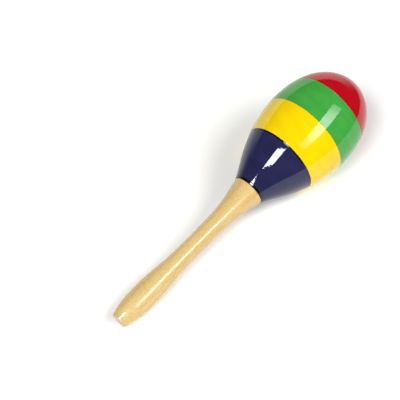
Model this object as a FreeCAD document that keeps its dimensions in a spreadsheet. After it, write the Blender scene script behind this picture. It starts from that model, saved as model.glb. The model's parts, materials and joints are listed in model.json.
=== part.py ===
"""A turned wooden maraca, lying on its belly and its butt, in millimetres.

Every turned piece is drawn as a half-section: x is the radius and y is the station, which is the
distance along the turning axis from the butt of the handle. The finished pieces are then laid down
together, with the head towards +X and the origin under the middle of the maraca, on the table.
"""

import FreeCAD
import Part
import Sketcher
import math
import os

SIZES = {
    # The painted outside, from the butt to the crown.
    "overall_length": 240.0,
    "butt_radius": 5.3,
    "edge_radius": 6.0,
    "edge_station": 1.2,
    "swell_radius": 8.75,
    "swell_station": 8.4,
    "grip_radius": 8.9,
    "grip_start": 17.9,
    "grip_station": 25.5,
    "grip_end": 38.8,
    "waist_radius": 6.6,
    "waist_start": 48.2,
    "waist_station": 68.0,
    "waist_end": 103.2,
    "flare_radius": 7.2,
    "flare_station": 105.4,
    "neck_radius": 12.0,
    "neck_station": 127.0,
    "cone_radius": 17.8,
    "cone_station": 139.0,
    "flank_radius": 20.6,
    "flank_station": 141.7,
    "belly_radius": 34.0,
    "belly_start": 164.3,
    "belly_station": 191.5,
    "belly_end": 225.0,
    "crown_radius": 16.5,
    # The hollow for the pellets.
    "floor_station": 149.0,
    "floor_radius": 17.7,
    "hollow_radius": 30.0,
    "hollow_arc": 75.0,
    "vault_arc": 26.5,
    # The two glued joints: the handle's tenon, and the spigot between the halves of the head.
    "tenon_radius": 5.95,
    "tenon_chamfer": 1.0,
    "glue_gap": 0.05,
    "seam_station": 160.1,
    "spigot_radius": 25.8,
    "spigot_length": 3.0,
    # The enamel, band by band.
    "coat": 0.2,
    "neck_line_end": 128.7,
    "belt_start": 159.6,
    "belt_end": 160.7,
    "green_station": 186.1,
    "red_station": 211.4,
    # The pellets, and how far each one keeps from the wall and from the next one.
    "pellet_radius": 2.2,
    "pellet_clearance": 0.3,
    "pellet_spacing": 4.8,
    # A blank wider and longer than the maraca, for what is cut away whole.
    "blank_radius": 40.0,
    "blank_length": 250.0,
}
RINGS = 2
ORIGIN = FreeCAD.Vector(0, 0, 0)
NORMAL = FreeCAD.Vector(0, 0, 1)
CROSSWISE = FreeCAD.Vector(0, 1, 0)

doc = FreeCAD.newDocument("maraca")
sheet = doc.addObject("Spreadsheet::Sheet", "Sizes")
for row, (alias, size) in enumerate(SIZES.items(), start=1):
    sheet.set(f"A{row}", alias)
    sheet.set(f"B{row}", str(size))
    sheet.setAlias(f"B{row}", alias)
doc.recompute()

subparts = []
sketches = []


# ---------------------------------------------------------------- drawing half-sections
def total(cells):
    """The value of a signed sum of cells, such as "belly_radius -coat"; an empty sum is zero."""
    signed = [(-1, cell[1:]) if cell.startswith("-") else (1, cell) for cell in cells.split()]
    return sum(sign * SIZES[cell] for sign, cell in signed)


def formula(cells):
    """The same signed sum as an expression on the sheet."""
    return " ".join(f"- Sizes.{c[1:]}" if c.startswith("-") else f"+ Sizes.{c}" for c in cells.split())[2:]


def place(pair):
    return FreeCAD.Vector(total(pair[0]), total(pair[1]), 0)


def bind(sketch, constraint, cells):
    index = sketch.addConstraint(constraint)
    sketch.setExpression(f"Constraints[{index}]", formula(cells))


def fix_point(sketch, geometry, end, pair):
    """Ties a point to its radius and station. A zero is a point on the sketch's own axis."""
    radius, station = pair
    if radius:
        bind(sketch, Sketcher.Constraint("DistanceX", -1, 1, geometry, end, total(radius)), radius)
    else:
        sketch.addConstraint(Sketcher.Constraint("PointOnObject", geometry, end, -2))
    if station:
        bind(sketch, Sketcher.Constraint("DistanceY", -1, 1, geometry, end, total(station)), station)
    else:
        sketch.addConstraint(Sketcher.Constraint("PointOnObject", geometry, end, -1))


def add_curve(sketch, pairs):
    """A smooth curve drawn by its control points, of which the caller ties down the first and last."""
    points = [place(pair) for pair in pairs]
    count = len(points)
    curve = Part.BSplineCurve()
    curve.buildFromPolesMultsKnots(points, [count, count], [0, 1], False, count - 1)
    geometry = sketch.addGeometry(curve, False)
    handles = [sketch.addGeometry(Part.Circle(point, NORMAL, 1.0), True) for point in points]
    sketch.addConstraint(Sketcher.Constraint("Weight", handles[0], 1.0))
    for handle in handles[1:]:
        sketch.addConstraint(Sketcher.Constraint("Equal", handles[0], handle))
    for number, handle in enumerate(handles):
        kind = "InternalAlignment:Sketcher::BSplineControlPoint"
        sketch.addConstraint(Sketcher.Constraint(kind, handle, 3, geometry, number))
    for handle, pair in zip(handles[1:-1], pairs[1:-1]):
        fix_point(sketch, handle, 3, pair)
    return geometry


def new_sketch(body, name):
    plane = next(part for part in body.Origin.OriginFeatures if part.Role == "XZ_Plane")
    sketch = body.newObject("Sketcher::SketchObject", name)
    sketch.AttachmentSupport = [(plane, "")]
    sketch.MapMode = "FlatFace"
    sketches.append(sketch)
    return sketch


def draw_section(body, name, start, steps):
    """A closed half-section. A step of one point is a straight line to it, and a longer one is a curve."""
    sketch = new_sketch(body, name)
    closing = [] if steps[-1][-1] == start else [[start]]
    pieces = []
    here = start
    for step in steps + closing:
        if len(step) == 1:
            geometry = sketch.addGeometry(Part.LineSegment(place(here), place(step[0])))
        else:
            geometry = add_curve(sketch, [here, *step])
        fix_point(sketch, geometry, 1, here)
        pieces.append(geometry)
        here = step[-1]
    for geometry, following in zip(pieces, [*pieces[1:], pieces[0]]):
        sketch.addConstraint(Sketcher.Constraint("Coincident", geometry, 2, following, 1))
    return sketch


def turn(body, kind, sketch):
    """Turns a half-section about the axis, to add it (Revolution) or to cut it away (Groove)."""
    feature = body.newObject(f"PartDesign::{kind}", f"{sketch.Name}_{kind.lower()}")
    feature.Profile = sketch
    feature.ReferenceAxis = (sketch, ["V_Axis"])
    feature.Angle = 360
    return feature


def new_body(label):
    body = doc.addObject("PartDesign::Body", label)
    body.Label = label
    return body


# ---------------------------------------------------------------- the outside of the head
def head_curves(inset):
    """The head's outside from the neck to the crown, as it is or drawn in by a cell such as "-coat".
    The cone starts a little hollow where it meets the neck, and then swells into the belly."""
    flank = [
        (f"cone_radius {inset}", "cone_station"),
        (f"flank_radius {inset}", "flank_station"),
        (f"belly_radius {inset}", "belly_start"),
        (f"belly_radius {inset}", "belly_station"),
    ]
    crown = [
        (f"belly_radius {inset}", f"belly_end {inset}"),
        (f"crown_radius {inset}", f"overall_length {inset}"),
        ("", f"overall_length {inset}"),
    ]
    return [flank, crown]


# ---------------------------------------------------------------- handle
# Turned from one stick: a swollen grip, a slim waist and a flared neck, then a tenon for the head.
handle = new_body("handle")
handle_sketch = draw_section(
    handle,
    "handle_section",
    ("", ""),
    [
        [("butt_radius", "")],
        [("edge_radius", "edge_station")],
        [("swell_radius", "swell_station"), ("grip_radius", "grip_start"), ("grip_radius", "grip_station")],
        [("grip_radius", "grip_end"), ("waist_radius", "waist_start"), ("waist_radius", "waist_station")],
        [
            ("waist_radius", "waist_end"),
            ("flare_radius -coat", "flare_station"),
            ("neck_radius -coat", "neck_station"),
        ],
        [("tenon_radius", "neck_station")],
        [("tenon_radius", "floor_station -tenon_chamfer")],
        [("tenon_radius -tenon_chamfer", "floor_station")],
        [("", "floor_station")],
    ],
)
turn(handle, "Revolution", handle_sketch)
subparts.append(handle)


# ---------------------------------------------------------------- head shells
def draw_hollow(body, name):
    """The pellet room: a flat floor, a straight flank, a long belly arc and a round vault on the axis."""
    sketch = new_sketch(body, name)
    belly_centre = FreeCAD.Vector(total("hollow_radius -hollow_arc"), total("belly_station"), 0)
    vault_turn = math.acos(-belly_centre.x / total("hollow_arc -vault_arc"))
    vault_centre = FreeCAD.Vector(0, belly_centre.y - belly_centre.x * math.tan(vault_turn), 0)
    flank_turn = math.atan2(belly_centre.y - total("floor_station"), -belly_centre.x + total("floor_radius"))
    flank_turn -= math.acos(
        total("hollow_arc")
        / math.hypot(belly_centre.y - total("floor_station"), -belly_centre.x + total("floor_radius"))
    )
    floor_edge = place(("floor_radius", "floor_station"))
    belly_start = belly_centre + total("hollow_arc") * FreeCAD.Vector(
        math.cos(flank_turn), -math.sin(flank_turn), 0
    )
    belly_circle = Part.Circle(belly_centre, NORMAL, total("hollow_arc"))
    vault_circle = Part.Circle(vault_centre, NORMAL, total("vault_arc"))
    vault_top = vault_centre + FreeCAD.Vector(0, total("vault_arc"), 0)
    middle = place(("", "floor_station"))
    floor, flank, belly, vault, axis = (
        sketch.addGeometry(shape)
        for shape in (
            Part.LineSegment(middle, floor_edge),
            Part.LineSegment(floor_edge, belly_start),
            Part.ArcOfCircle(belly_circle, -flank_turn, vault_turn),
            Part.ArcOfCircle(vault_circle, vault_turn, math.pi / 2),
            Part.LineSegment(vault_top, middle),
        )
    )
    fix_point(sketch, floor, 1, ("", "floor_station"))
    fix_point(sketch, flank, 1, ("floor_radius", "floor_station"))
    sketch.addConstraint(Sketcher.Constraint("Coincident", floor, 2, flank, 1))
    sketch.addConstraint(Sketcher.Constraint("Tangent", flank, 2, belly, 1))
    sketch.addConstraint(Sketcher.Constraint("Tangent", belly, 2, vault, 1))
    sketch.addConstraint(Sketcher.Constraint("Coincident", vault, 2, axis, 1))
    sketch.addConstraint(Sketcher.Constraint("Coincident", axis, 2, floor, 1))
    sketch.addConstraint(Sketcher.Constraint("PointOnObject", vault, 3, -2))
    sketch.addConstraint(Sketcher.Constraint("PointOnObject", vault, 2, -2))
    bind(sketch, Sketcher.Constraint("Radius", belly, total("hollow_arc")), "hollow_arc")
    bind(sketch, Sketcher.Constraint("Radius", vault, total("vault_arc")), "vault_arc")
    offset = Sketcher.Constraint("DistanceX", belly, 3, -1, 1, -belly_centre.x)
    bind(sketch, offset, "hollow_arc -hollow_radius")
    height = Sketcher.Constraint("DistanceY", -1, 1, belly, 3, belly_centre.y)
    bind(sketch, height, "belly_station")
    return sketch


def turn_shell(label, waste_start, waste_steps):
    """One half of the head: the whole turned head, hollowed and bored, less everything past the seam."""
    shell = new_body(label)
    blank = draw_section(
        shell,
        f"{label}_outside",
        ("", "neck_station"),
        [[("neck_radius -coat", "neck_station")], *head_curves("-coat")],
    )
    turn(shell, "Revolution", blank)
    turn(shell, "Groove", draw_hollow(shell, f"{label}_hollow"))
    turn(shell, "Groove", draw_section(shell, f"{label}_waste", waste_start, waste_steps))
    subparts.append(shell)
    return shell


# The lower half is bored for the tenon and keeps a spigot that stands up inside the upper half.
cone_shell = turn_shell(
    "cone_shell",
    ("", "seam_station spigot_length"),
    [
        [("spigot_radius", "seam_station spigot_length")],
        [("spigot_radius", "seam_station")],
        [("blank_radius", "seam_station")],
        [("blank_radius", "blank_length")],
        [("", "blank_length")],
    ],
)
turn(
    cone_shell,
    "Groove",
    draw_section(
        cone_shell,
        "cone_shell_bore",
        ("", "neck_station -tenon_chamfer"),
        [
            [("tenon_radius glue_gap", "neck_station -tenon_chamfer")],
            [("tenon_radius glue_gap", "floor_station tenon_chamfer")],
            [("", "floor_station tenon_chamfer")],
        ],
    ),
)
# The upper half has a rebate inside its rim, which drops over the spigot.
dome_shell = turn_shell(
    "dome_shell",
    ("", ""),
    [
        [("blank_radius", "")],
        [("blank_radius", "seam_station")],
        [("spigot_radius glue_gap", "seam_station")],
        [("spigot_radius glue_gap", "seam_station spigot_length glue_gap")],
        [("", "seam_station spigot_length glue_gap")],
    ],
)

# ---------------------------------------------------------------- enamel
# One thin coat over the whole head, which is then parted into its bands and its two black lines.
coat = new_body("coat")
flank_out, crown_out = head_curves("")
flank_in, crown_in = head_curves("-coat")
coat_sketch = draw_section(
    coat,
    "coat_section",
    ("neck_radius -coat", "neck_station"),
    [
        [("neck_radius", "neck_station")],
        flank_out,
        crown_out,
        [crown_in[-1]],
        [*reversed(crown_in[:-1]), flank_in[-1]],
        [*reversed(flank_in[:-1]), ("neck_radius -coat", "neck_station")],
    ],
)
turn(coat, "Revolution", coat_sketch)

BANDS = {
    "neck_line": ("neck_station", "neck_line_end"),
    "navy_enamel": ("neck_line_end", "belt_start"),
    "belt_line": ("belt_start", "belt_end"),
    "yellow_enamel": ("belt_end", "green_station"),
    "green_enamel": ("green_station", "red_station"),
    "red_enamel": ("red_station", "overall_length"),
}
for label, (first, last) in BANDS.items():
    slab = doc.addObject("Part::Cylinder", f"{label}_slab")
    slab.setExpression("Radius", "Sizes.blank_radius")
    slab.setExpression("Height", f"Sizes.{last} - Sizes.{first}")
    slab.setExpression("Placement.Base.z", f"Sizes.{first}")
    band = doc.addObject("Part::Common", label)
    band.Label = label
    band.Base = coat
    band.Tool = slab
    subparts.append(band)
doc.recompute()


# ---------------------------------------------------------------- how it lies
def outline_points(*sketches):
    steps_per_edge = 400
    return [point for s in sketches for edge in s.Shape.Edges for point in edge.discretize(steps_per_edge)]


def depth(points, tilt):
    """How far a half-section reaches below the butt's middle with its axis tipped up by tilt radians."""
    return max(point.x * math.cos(tilt) - point.z * math.sin(tilt) for point in points)


# The head is raised until its belly and the butt of the handle touch the table together.
handle_points = outline_points(handle_sketch)
head_points = outline_points(coat_sketch)
shallow = 0.0
steep = math.pi / 4
for _ in range(50):
    tilt = (shallow + steep) / 2
    if depth(head_points, tilt) > depth(handle_points, tilt):
        shallow = tilt
    else:
        steep = tilt
reach = [
    point.z * math.cos(tilt) + side * point.x * math.sin(tilt)
    for point in handle_points + head_points
    for side in (-1, 1)
]
lie = FreeCAD.Placement(
    FreeCAD.Vector(-(min(reach) + max(reach)) / 2, 0, depth(head_points, tilt)),
    FreeCAD.Rotation(CROSSWISE, 90 - math.degrees(tilt)),
)
for subpart in subparts:
    subpart.Placement = lie

# ---------------------------------------------------------------- pellets
# Hard seeds that lie on the wall of the hollow: one at its lowest place and two rings around it.
# Each has a lane of its own straight across the head, so that none meets another as they fly.
lowest_station = SIZES["belly_station"] - SIZES["hollow_arc"] * math.sin(tilt)
spacing = SIZES["pellet_spacing"]
lanes = [
    (spacing * (column + row % 2 / 2), spacing * row * math.sin(math.radians(60)))
    for row in range(-RINGS, RINGS + 1)
    for column in range(-RINGS, RINGS + 1)
]
lanes = [lane for lane in lanes if math.hypot(*lane) < spacing * (RINGS + 0.1)]
centre_arc = SIZES["hollow_arc"] - SIZES["pellet_radius"] - SIZES["pellet_clearance"]
for number, (along, across) in enumerate(lanes, start=1):
    station = lowest_station + along
    swing = math.sqrt(centre_arc**2 - (station - SIZES["belly_station"]) ** 2)
    wall_distance = SIZES["hollow_radius"] - SIZES["hollow_arc"] + swing
    drop = math.sqrt(wall_distance**2 - across**2)
    pellet = doc.addObject("Part::Sphere", f"pellet_{number:02d}")
    pellet.Label = f"pellet_{number:02d}"
    pellet.setExpression("Radius", "Sizes.pellet_radius")
    pellet.Placement = lie * FreeCAD.Placement(FreeCAD.Vector(drop, across, station), FreeCAD.Rotation())
    subparts.append(pellet)
doc.recompute()

# ---------------------------------------------------------------- checks and files
for item in doc.Objects:
    if "Invalid" in item.State or "Error" in item.State:
        raise RuntimeError(f"{item.Name} failed: {item.State}")
for sketch in sketches:
    if not sketch.FullyConstrained:
        raise RuntimeError(f"{sketch.Name} isn't fully constrained")
for subpart in subparts:
    if subpart.Shape.isNull() or not subpart.Shape.isValid() or len(subpart.Shape.Solids) != 1:
        raise RuntimeError(f"{subpart.Label} isn't one sound solid")

os.makedirs("parts", exist_ok=True)
for subpart in subparts:
    subpart.Shape.exportStep(f"parts/{subpart.Label}.step")
print(f"tilt {math.degrees(tilt):.3f} degrees, placed by {lie.Base}")
for subpart in subparts:
    print(f"{subpart.Label:15} {subpart.Shape.Volume:10.1f} mm3")
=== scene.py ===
import bpy
import json
import math
from mathutils import Euler, Matrix, Vector


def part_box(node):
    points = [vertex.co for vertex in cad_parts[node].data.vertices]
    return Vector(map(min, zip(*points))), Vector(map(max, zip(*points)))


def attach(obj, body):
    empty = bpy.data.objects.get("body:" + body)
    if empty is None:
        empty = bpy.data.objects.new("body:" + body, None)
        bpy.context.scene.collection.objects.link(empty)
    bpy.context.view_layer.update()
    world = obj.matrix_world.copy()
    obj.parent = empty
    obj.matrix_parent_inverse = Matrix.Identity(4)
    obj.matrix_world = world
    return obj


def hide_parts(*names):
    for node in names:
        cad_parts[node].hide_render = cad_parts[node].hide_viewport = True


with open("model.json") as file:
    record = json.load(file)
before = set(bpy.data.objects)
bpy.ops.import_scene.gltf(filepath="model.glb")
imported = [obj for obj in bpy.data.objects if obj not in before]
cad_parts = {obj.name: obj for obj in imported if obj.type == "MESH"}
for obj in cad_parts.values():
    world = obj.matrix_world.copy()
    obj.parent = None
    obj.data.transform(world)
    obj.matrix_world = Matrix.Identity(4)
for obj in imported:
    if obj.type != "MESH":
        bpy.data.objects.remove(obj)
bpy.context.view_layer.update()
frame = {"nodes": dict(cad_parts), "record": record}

# ------------------------------------------------------------------------------ how it lies
# The maraca lies on its belly and on the edge of its butt. Everything in it was turned on one axis,
# which starts at the middle of the butt and rises a little towards the head.
butt_mount = next(mount for mount in frame["record"]["mounts"] if mount["name"] == "butt_face")
butt = Vector(butt_mount["pos_m"])
axis = -Vector(butt_mount["axis"])
rise = math.asin(axis.z)
lay_turn = Euler((0, math.pi / 2 - rise, 0))
lay = Matrix.Translation(butt) @ lay_turn.to_matrix().to_4x4()
MM = 0.001


def station_of(point):
    """How far along the turning axis a point of the frame is from the butt, in millimetres."""
    return (Vector(point) - butt).dot(axis) / MM


# ------------------------------------------------------------------------------ handle
# One stick of pale close-grained hardwood, turned with a swollen grip, a slim waist and a flared neck,
# and lacquered all over but for the end that the lathe held. A tenon beyond the neck is glued in the head.
LENGTH = 240.0
BUTT_RADIUS = 5.3
EDGE = (6.0, 1.2)
GRIP_RADIUS = 8.9
GRIP = 25.5
WAIST_RADIUS = 6.6
WAIST = 68.0
NECK_RADIUS = 12.0
NECK = 127.0
TENON_RADIUS = 5.95
TENON_END = 149.0
COAT = 0.2
SIDES = 192


def bend(corners, steps):
    """Points along the smooth curve that its control points draw, all but the first."""
    degree = len(corners) - 1
    points = []
    for step in range(1, steps + 1):
        t = step / steps
        pulls = [math.comb(degree, i) * t**i * (1 - t) ** (degree - i) for i in range(degree + 1)]
        points.append(tuple(sum(pull * c[i] for pull, c in zip(pulls, corners)) for i in (0, 1)))
    return points


def turn(name, outline):
    """Spins a half-section, given as radius and station in millimetres, and lays the piece down."""
    bpy.ops.object.select_all(action="DESELECT")
    bpy.ops.mesh.primitive_circle_add(vertices=len(outline), radius=MM)
    piece = bpy.context.object
    piece.name = name
    for vertex, (radius, station) in zip(piece.data.vertices, outline):
        vertex.co = (radius * MM, 0, station * MM)
    bpy.ops.object.mode_set(mode="EDIT")
    bpy.ops.mesh.select_all(action="SELECT")
    bpy.ops.mesh.spin(steps=SIDES, angle=2 * math.pi, center=(0, 0, 0), axis=(0, 0, 1))
    bpy.ops.mesh.select_all(action="SELECT")
    bpy.ops.mesh.remove_doubles(threshold=0.002 * MM)
    bpy.ops.mesh.delete_loose()
    bpy.ops.mesh.select_all(action="SELECT")
    bpy.ops.mesh.normals_make_consistent(inside=False)
    bpy.ops.object.mode_set(mode="OBJECT")
    piece.matrix_world = lay
    bpy.ops.object.transform_apply(location=True, rotation=True, scale=True)
    bpy.ops.object.shade_smooth_by_angle(angle=math.radians(35))
    return piece


def linear(colour):
    """The linear colour of an sRGB hex value."""
    parts = [int(colour[i : i + 2], 16) / 255 for i in (1, 3, 5)]
    return (*[c / 12.92 if c <= 0.04045 else ((c + 0.055) / 1.055) ** 2.4 for c in parts], 1.0)


def add_node(material, kind, inputs, **settings):
    """Adds a node. An input is given a plain value, or another node's output to be linked to."""
    made = material.node_tree.nodes.new(kind)
    for setting, value in settings.items():
        setattr(made, setting, value)
    for socket, value in inputs.items():
        if isinstance(value, bpy.types.NodeSocket):
            material.node_tree.links.new(value, made.inputs[socket])
        else:
            made.inputs[socket].default_value = value
    return made


def new_material(name):
    """A material with its shader, and with places on the piece as they were on the lathe: z is the axis."""
    material = bpy.data.materials.new(name)
    material.use_nodes = True
    shader = material.node_tree.nodes["Principled BSDF"]
    places = add_node(material, "ShaderNodeTexCoord", {})
    on_lathe = add_node(
        material,
        "ShaderNodeMapping",
        {"Vector": places.outputs["Object"], "Location": butt, "Rotation": lay_turn},
        vector_type="TEXTURE",
    )
    return material, shader, on_lathe.outputs["Vector"]


def stretch(material, place, across, along):
    """Scales places so that one pattern unit is so many millimetres across and along the axis."""
    scale = (1 / (across * MM), 1 / (across * MM), 1 / (along * MM))
    return add_node(material, "ShaderNodeMapping", {"Vector": place, "Scale": scale}).outputs["Vector"]


def blend_colours(material, factor, first, second):
    """The first colour where the factor is 0, and the second where it is 1."""
    mixed = add_node(
        material, "ShaderNodeMix", {0: factor, 6: first, 7: second}, data_type="RGBA"
    )
    return mixed.outputs[2]


def between(material, value, low, high, first=0.0, last=1.0):
    """A smooth step of a value, from first at low to last at high."""
    stepped = add_node(
        material,
        "ShaderNodeMapRange",
        {"Value": value, "From Min": low, "From Max": high, "To Min": first, "To Max": last},
        interpolation_type="SMOOTHSTEP",
    )
    return stepped.outputs["Result"]


# Beech under clear lacquer: warm and pale, with drawn-out growth bands and short dark ray flecks that
# run with the axis. The thin hard film over it gives one sharp bright line, and its amber tint deepens
# the colour towards the sides, where one looks through more of it.
beech, beech_shader, place = new_material("lacquered_beech")
bands = add_node(
    beech,
    "ShaderNodeTexNoise",
    {"Vector": stretch(beech, place, 5.0, 90.0), "Scale": 1.0, "Detail": 3.0, "Roughness": 0.55},
)
streaks = add_node(
    beech,
    "ShaderNodeTexNoise",
    {"Vector": stretch(beech, place, 0.8, 9.0), "Scale": 1.0, "Detail": 2.0, "Roughness": 0.5},
)
flecks = add_node(
    beech,
    "ShaderNodeTexVoronoi",
    {"Vector": stretch(beech, place, 0.5, 2.0), "Scale": 1.0, "Randomness": 1.0},
)
pale = blend_colours(
    beech, between(beech, bands.outputs["Fac"], 0.3, 0.7), linear("#E8DFBF"), linear("#E1D0A5")
)
streaked = blend_colours(
    beech, between(beech, streaks.outputs["Fac"], 0.45, 0.75, 0.0, 0.25), pale, linear("#D4AE6C")
)
flecked = blend_colours(
    beech, between(beech, flecks.outputs["Distance"], 0.45, 0.15, 0.0, 0.6), streaked, linear("#C99F58")
)
beech.node_tree.links.new(flecked, beech_shader.inputs["Base Color"])
film = add_node(
    beech,
    "ShaderNodeTexNoise",
    {"Vector": stretch(beech, place, 3.0, 9.0), "Scale": 1.0, "Detail": 2.0},
)
film_bump = add_node(
    beech,
    "ShaderNodeBump",
    {"Height": film.outputs["Fac"], "Strength": 0.25, "Distance": 0.05 * MM},
)
beech.node_tree.links.new(film_bump.outputs["Normal"], beech_shader.inputs["Coat Normal"])
beech_shader.inputs["Roughness"].default_value = 0.5
beech_shader.inputs["IOR"].default_value = 1.45
beech_shader.inputs["Coat Weight"].default_value = 1.0
beech_shader.inputs["Coat Roughness"].default_value = 0.04
beech_shader.inputs["Coat Tint"].default_value = linear("#F8E6BE")

# The bare end grain where the lathe's centre held the stick: greyer, dull, full of open pores, and with
# the growth rings of a tree whose heart was off to one side.
end_grain, end_shader, place = new_material("bare_beech_end_grain")
pores = add_node(
    end_grain,
    "ShaderNodeTexVoronoi",
    {"Vector": stretch(end_grain, place, 0.35, 0.35), "Scale": 1.0},
)
from_pith = add_node(
    end_grain, "ShaderNodeMapping", {"Vector": place, "Location": (9 * MM, 4 * MM, 0)}
).outputs["Vector"]
rings = add_node(
    end_grain,
    "ShaderNodeTexWave",
    {"Vector": stretch(end_grain, from_pith, 1.0, 1.0), "Scale": 0.27, "Distortion": 3.0, "Detail": 2.0},
    wave_type="RINGS",
    rings_direction="Z",
    wave_profile="SAW",
)
ringed = blend_colours(
    end_grain, between(end_grain, rings.outputs["Fac"], 0.2, 1.0), linear("#E4D6C4"), linear("#D2BFA6")
)
pored = blend_colours(
    end_grain, between(end_grain, pores.outputs["Distance"], 0.3, 0.1, 0.0, 0.5), ringed, linear("#A88C70")
)
end_grain.node_tree.links.new(pored, end_shader.inputs["Base Color"])
end_shader.inputs["Roughness"].default_value = 0.75

edge_round = bend([(BUTT_RADIUS, 0), (BUTT_RADIUS + 0.5, 0), (EDGE[0] - 0.25, 0.6), EDGE], 6)
grip = bend([EDGE, (8.75, 8.4), (GRIP_RADIUS, 17.9), (GRIP_RADIUS, GRIP)], 30)
waist = bend([grip[-1], (GRIP_RADIUS, 38.8), (WAIST_RADIUS, 48.2), (WAIST_RADIUS, WAIST)], 40)
flare = bend([waist[-1], (WAIST_RADIUS, 103.2), (7.2 - COAT, 105.4), (NECK_RADIUS - COAT, NECK)], 60)
tenon = [
    (TENON_RADIUS, NECK),
    (TENON_RADIUS, TENON_END - 1),
    (TENON_RADIUS - 1, TENON_END),
    (0, TENON_END),
]
handle = turn(
    "handle_stick", [(0, 0), (BUTT_RADIUS, 0), *edge_round, *grip, *waist, *flare, *tenon]
)
handle.data.materials.append(beech)
handle.data.materials.append(end_grain)
for face in handle.data.polygons:
    if face.normal.dot(axis) < -0.99 or station_of(face.center) > NECK + 0.5:
        face.material_index = 1
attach(handle, "maraca")
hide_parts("handle")

# ------------------------------------------------------------------------------ head shells
# The head is two cups of the same wood, turned and hollowed. The lower one is bored for the tenon and
# has a spigot that is glued inside the rim of the upper one, once the seeds are in.
BELLY_RADIUS = 34.0
BELLY = 191.5
SEAM = 160.1
SPIGOT_RADIUS = 25.8
SPIGOT_LENGTH = 3.0
GLUE_GAP = 0.05
FLOOR = (17.7, 149.0)
HOLLOW_RADIUS = 30.0
HOLLOW_ARC = 75.0
VAULT_ARC = 26.5


def head_outline(inset):
    """The outside of the head from the neck to the crown, drawn in by a thickness."""
    belly = BELLY_RADIUS - inset
    top = LENGTH - inset
    start = (NECK_RADIUS - inset, NECK)
    cone = [(17.8 - inset, 139.0), (20.6 - inset, 141.7)]
    flank = bend([start, *cone, (belly, 164.3), (belly, BELLY)], 100)
    crown = bend([flank[-1], (belly, 225.0 - inset), (16.5 - inset, top), (0, top)], 80)
    return [start, *flank, *crown]


def cut(outline, low, high):
    """The part of an outline that lies between two stations."""
    kept = [outline[0]] if low <= outline[0][1] else []
    for (r0, s0), (r1, s1) in zip(outline, outline[1:]):
        for limit in (low, high):
            if s0 < limit < s1:
                kept.append((r0 + (r1 - r0) * (limit - s0) / (s1 - s0), limit))
        if low <= s1 <= high:
            kept.append((r1, s1))
    return kept


def arc(centre, radius, start, end, steps):
    """Points along an arc, by its angles from straight out of the axis."""
    angles = [start + (end - start) * step / steps for step in range(steps + 1)]
    return [(centre[0] + radius * math.cos(a), centre[1] + radius * math.sin(a)) for a in angles]


belly_centre = (HOLLOW_RADIUS - HOLLOW_ARC, BELLY)
vault_angle = math.acos(-belly_centre[0] / (HOLLOW_ARC - VAULT_ARC))
vault_centre = (0, BELLY - belly_centre[0] * math.tan(vault_angle))
to_floor = (FLOOR[0] - belly_centre[0], BELLY - FLOOR[1])
flank_angle = math.atan2(to_floor[1], to_floor[0]) - math.acos(HOLLOW_ARC / math.hypot(*to_floor))
hollow = [
    (0, FLOOR[1]),
    FLOOR,
    *arc(belly_centre, HOLLOW_ARC, -flank_angle, vault_angle, 60),
    *arc(vault_centre, VAULT_ARC, vault_angle, math.pi / 2, 40)[1:],
]
wood_outside = head_outline(COAT)
spigot_end = SEAM + SPIGOT_LENGTH
bore = TENON_RADIUS + GLUE_GAP
rebate = SPIGOT_RADIUS + GLUE_GAP
cone_section = [
    (bore, NECK),
    *cut(wood_outside, NECK, SEAM),
    (SPIGOT_RADIUS, SEAM),
    (SPIGOT_RADIUS, spigot_end),
    *reversed(cut(hollow, FLOOR[1] + 0.01, spigot_end)),
    FLOOR,
    (bore, FLOOR[1]),
]
dome_section = [
    (rebate, SEAM),
    *cut(wood_outside, SEAM, LENGTH),
    *reversed(cut(hollow, spigot_end + GLUE_GAP, LENGTH)),
    (rebate, spigot_end + GLUE_GAP),
]

# Bare turned beech, never lacquered inside: dull, with the gouge's fine rings still in it.
bare_beech, bare_shader, place = new_material("bare_turned_beech")
grain = add_node(
    bare_beech,
    "ShaderNodeTexNoise",
    {"Vector": stretch(bare_beech, place, 2.0, 30.0), "Scale": 1.0, "Detail": 4.0},
)
gouge = add_node(
    bare_beech,
    "ShaderNodeTexNoise",
    {"Vector": stretch(bare_beech, place, 60.0, 0.9), "Scale": 1.0, "Detail": 1.0},
)
gouge_bump = add_node(
    bare_beech,
    "ShaderNodeBump",
    {"Height": gouge.outputs["Fac"], "Strength": 0.5, "Distance": 0.1 * MM},
)
bare_colour = blend_colours(
    bare_beech, between(bare_beech, grain.outputs["Fac"], 0.3, 0.7), linear("#E3C998"), linear("#CFAF79")
)
bare_beech.node_tree.links.new(bare_colour, bare_shader.inputs["Base Color"])
bare_beech.node_tree.links.new(gouge_bump.outputs["Normal"], bare_shader.inputs["Normal"])
bare_shader.inputs["Roughness"].default_value = 0.7

for node_name, section in {"cone_shell": cone_section, "dome_shell": dome_section}.items():
    shell = turn(f"{node_name}_wood", section)
    shell.data.materials.append(bare_beech)
    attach(shell, "maraca")
    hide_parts(node_name)

# ------------------------------------------------------------------------------ enamel
# Each band of enamel was brushed on while the head spun on the lathe, and two thin black lines were
# drawn over the neck and over the first border. Each edge is a fine rounded lip of paint. A band is
# given by where it starts and ends, its paint, and that paint's colour where it is deep and where thin.
NECK_LINE_END = 128.7
BELT_START = 159.6
BELT_END = 160.7
GREEN = 186.1
RED = 211.4
LIP = 0.12
BANDS = {
    "neck_line": (NECK, NECK_LINE_END, "black_enamel", "#08080C", "#0E0E14"),
    "navy_enamel": (NECK_LINE_END, BELT_START, "navy_enamel", "#222249", "#272751"),
    "belt_line": (BELT_START, BELT_END, "black_enamel", "#08080C", "#0E0E14"),
    "yellow_enamel": (BELT_END, GREEN, "yellow_enamel", "#F4CF00", "#FAD600"),
    "green_enamel": (GREEN, RED, "green_enamel", "#3DA03D", "#45A844"),
    "red_enamel": (RED, LENGTH, "red_enamel", "#B90017", "#C10218"),
}
paint_outside = head_outline(0)


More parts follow.
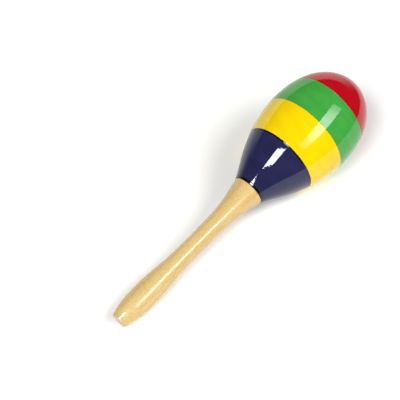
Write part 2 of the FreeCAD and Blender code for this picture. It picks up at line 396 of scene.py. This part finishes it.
def enamel(name, deep, thin):
    """High-gloss oil enamel: one strong colour, a touch thinner in places, over brushed rings.
    The rings are too fine to see as shape, and only make the edges of reflections waver."""
    material, shader, place = new_material(name)
    cloud = add_node(
        material,
        "ShaderNodeTexNoise",
        {"Vector": stretch(material, place, 14.0, 6.0), "Scale": 1.0, "Detail": 2.0},
    )
    colour = blend_colours(
        material, between(material, cloud.outputs["Fac"], 0.3, 0.7), linear(deep), linear(thin)
    )
    rings = add_node(
        material,
        "ShaderNodeTexNoise",
        {"Vector": stretch(material, place, 7.0, 1.3), "Scale": 1.0, "Detail": 1.0},
    )
    ripple = add_node(
        material,
        "ShaderNodeBump",
        {"Height": rings.outputs["Fac"], "Strength": 1.0, "Distance": 0.02 * MM},
    )
    material.node_tree.links.new(colour, shader.inputs["Base Color"])
    material.node_tree.links.new(ripple.outputs["Normal"], shader.inputs["Normal"])
    shader.inputs["Roughness"].default_value = 0.03
    shader.inputs["IOR"].default_value = 1.52
    return material


for node_name, (low, high, slot, deep, thin) in BANDS.items():
    outer = cut(paint_outside, low + LIP, high - LIP if high < LENGTH else high)
    inner = cut(wood_outside, low, high)
    start_edge = [(inner[0][0] + COAT / 2, low)]
    end_edge = [(inner[-1][0] + COAT / 2, high)] if high < LENGTH else []
    band = turn(f"{node_name}_coat", [*start_edge, *outer, *end_edge, *reversed(inner)])
    gloss = f"gloss_{slot}"
    material = bpy.data.materials.get(gloss) or enamel(gloss, deep, thin)
    band.data.materials.append(material)
    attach(band, "maraca")
    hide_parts(node_name)

# ------------------------------------------------------------------------------ seeds
# Hard round seeds, dropped in before the head was closed. Each is a little flattened, with a small
# dimple where it was joined to its pod, and lies its own way round.
SEED_SINK = 0.22
seed_nodes = sorted(name for name in frame["nodes"] if name.startswith("pellet_"))
seed_low, seed_high = (Vector(corner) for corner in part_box(seed_nodes[0]))
seed_radius = (seed_high - seed_low).x / 2

bpy.ops.object.select_all(action="DESELECT")
bpy.ops.mesh.primitive_uv_sphere_add(segments=24, ring_count=16, radius=seed_radius)
pattern = bpy.context.object
bpy.ops.object.mode_set(mode="EDIT")
bpy.ops.mesh.select_all(action="SELECT")
bpy.ops.transform.resize(value=(0.97, 0.93, 0.97), center_override=(0, 0, 0))
bpy.ops.mesh.select_all(action="DESELECT")
bpy.ops.object.mode_set(mode="OBJECT")
for vertex in pattern.data.vertices:
    vertex.select = vertex.co.z > seed_radius * 0.95
bpy.ops.object.mode_set(mode="EDIT")
bpy.ops.transform.translate(value=(0, 0, -SEED_SINK * seed_radius))
bpy.ops.mesh.select_all(action="DESELECT")
bpy.ops.object.mode_set(mode="OBJECT")
rounding = pattern.modifiers.new("rounding", "SUBSURF")
rounding.levels = 1
rounding.render_levels = 1
bpy.ops.object.modifier_apply(modifier="rounding")
bpy.ops.object.shade_smooth()

# The seed coat is hard and naturally polished, deep brown with paler clouds.
seed_coat, seed_shader, place = new_material("dried_seed_coat")
mottle = add_node(
    seed_coat,
    "ShaderNodeTexNoise",
    {"Vector": stretch(seed_coat, place, 1.2, 1.2), "Scale": 1.0, "Detail": 4.0},
)
seed_colour = blend_colours(
    seed_coat, between(seed_coat, mottle.outputs["Fac"], 0.35, 0.7), linear("#4A2E1A"), linear("#7C5734")
)
seed_coat.node_tree.links.new(seed_colour, seed_shader.inputs["Base Color"])
seed_shader.inputs["Roughness"].default_value = 0.3

for number, node_name in enumerate(seed_nodes):
    low, high = (Vector(corner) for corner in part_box(node_name))
    seed = bpy.data.objects.new(node_name.replace("pellet", "seed"), pattern.data.copy())
    bpy.context.collection.objects.link(seed)
    own_way = Euler((1.3 * number, 2.1 * number, 0.7 * number))
    seed.matrix_world = Matrix.Translation((low + high) / 2) @ own_way.to_matrix().to_4x4()
    bpy.ops.object.select_all(action="DESELECT")
    seed.select_set(True)
    bpy.context.view_layer.objects.active = seed
    bpy.ops.object.transform_apply(location=True, rotation=True, scale=True)
    seed.data.materials.append(seed_coat)
    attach(seed, node_name)
    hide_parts(node_name)
bpy.data.objects.remove(pattern)

# ------------------------------------------------------------------------------ floor, light, camera
# A plain white table, two softboxes above it on either side of the camera, and a dim room whose
# walls are pale only near the table.
bpy.ops.object.select_all(action="DESELECT")
bpy.ops.mesh.primitive_plane_add(size=0.8)
table = bpy.context.object
table.name = "table"
acrylic, acrylic_shader, _ = new_material("white_acrylic_table")
acrylic_shader.inputs["Base Color"].default_value = linear("#F2F2F0")
acrylic_shader.inputs["Roughness"].default_value = 0.7
acrylic_shader.inputs["Emission Color"].default_value = linear("#FFFFFF")
seen_directly = add_node(acrylic, "ShaderNodeLightPath", {}).outputs["Is Camera Ray"]
glow = between(acrylic, seen_directly, 0.0, 1.0, 0.08, 0.16)
acrylic.node_tree.links.new(glow, acrylic_shader.inputs["Emission Strength"])
table.data.materials.append(acrylic)


SOFTBOX_DISTANCE = 2.4


def softbox(name, azimuth, elevation, size, radiance, butt_end, crown_end):
    """A rectangular softbox that faces the head, brightest in its middle and dimmer at its two ends."""
    light = bpy.data.lights.new(name, "AREA")
    light.shape = "RECTANGLE"
    light.size, light.size_y = size
    light.energy = radiance * math.pi * light.size * light.size_y
    light.use_nodes = True
    places = add_node(light, "ShaderNodeNewGeometry", {}).outputs["Parametric"]
    across = add_node(light, "ShaderNodeSeparateXYZ", {0: places}).outputs["X"]
    rising = between(light, across, 0.0, 0.45, butt_end, 1.0)
    fade = between(light, across, 0.6, 1.0, rising, crown_end)
    light.node_tree.links.new(fade, light.node_tree.nodes["Emission"].inputs["Strength"])
    lamp = bpy.data.objects.new(name, light)
    bpy.context.collection.objects.link(lamp)
    level = math.cos(elevation)
    away = Vector(
        (level * math.cos(azimuth), level * math.sin(azimuth), math.sin(elevation))
    )
    lamp.location = butt + axis * BELLY * MM + away * SOFTBOX_DISTANCE
    lamp.rotation_euler = away.to_track_quat("Z", "Y").to_euler()


softbox("long_softbox", math.radians(-73), math.radians(52), (2.5, 0.9), 7.8, 0.12, 0.35)
softbox("square_softbox", math.radians(-170.5), math.radians(52.6), (0.8, 0.62), 25.0, 0.9, 0.9)

# The room is dim above its pale walls, which are brightest behind the table. Seen directly, it is an
# even pale backdrop.
WALL_TOP = 0.24
WALL_HEADING = math.radians(55)
world = bpy.data.worlds.new("room")
bpy.context.scene.world = world
world.use_nodes = True
room = world.node_tree
direction = add_node(world, "ShaderNodeTexCoord", {}).outputs["Generated"]
height = add_node(world, "ShaderNodeSeparateXYZ", {"Vector": direction}).outputs["Z"]
to_wall = (math.cos(WALL_HEADING), math.sin(WALL_HEADING), 0)
facing = add_node(world, "ShaderNodeVectorMath", {0: direction, 1: to_wall}, operation="DOT_PRODUCT")
below = between(world, height, WALL_TOP - 0.02, WALL_TOP + 0.02, 1.0, 0.0)
towards = between(world, facing.outputs["Value"], 0.4, 1.0)
wall = add_node(world, "ShaderNodeMath", {0: below, 1: towards}, operation="MULTIPLY")
dim = between(world, wall.outputs[0], 0.0, 1.0, 0.07, 0.9)
seen = add_node(world, "ShaderNodeLightPath", {}).outputs["Is Camera Ray"]
light_or_view = add_node(world, "ShaderNodeMix", {0: seen, 2: dim, 3: 0.93}, data_type="FLOAT")
room.links.new(light_or_view.outputs[0], room.nodes["Background"].inputs["Strength"])
room.nodes["Background"].inputs["Color"].default_value = linear("#FFFFFF")

VIEW_HEADING = math.radians(43.48)
VIEW_DROP = math.radians(55.53)
camera_data = bpy.data.cameras.new("camera")
camera_data.sensor_width = 36
camera_data.lens = 88.33
camera = bpy.data.objects.new("camera", camera_data)
bpy.context.collection.objects.link(camera)
camera.location = Vector((-298.4, -244.0, 581.5)) * MM
look = Vector(
    (
        math.cos(VIEW_DROP) * math.cos(VIEW_HEADING),
        math.cos(VIEW_DROP) * math.sin(VIEW_HEADING),
        -math.sin(VIEW_DROP),
    )
)
camera.rotation_euler = look.to_track_quat("-Z", "Y").to_euler()
camera_data.clip_start = 0.01
camera_data.clip_end = 50
bpy.context.scene.camera = camera
bpy.context.scene.view_settings.view_transform = "Standard"
bpy.context.scene.view_settings.exposure = 0.08
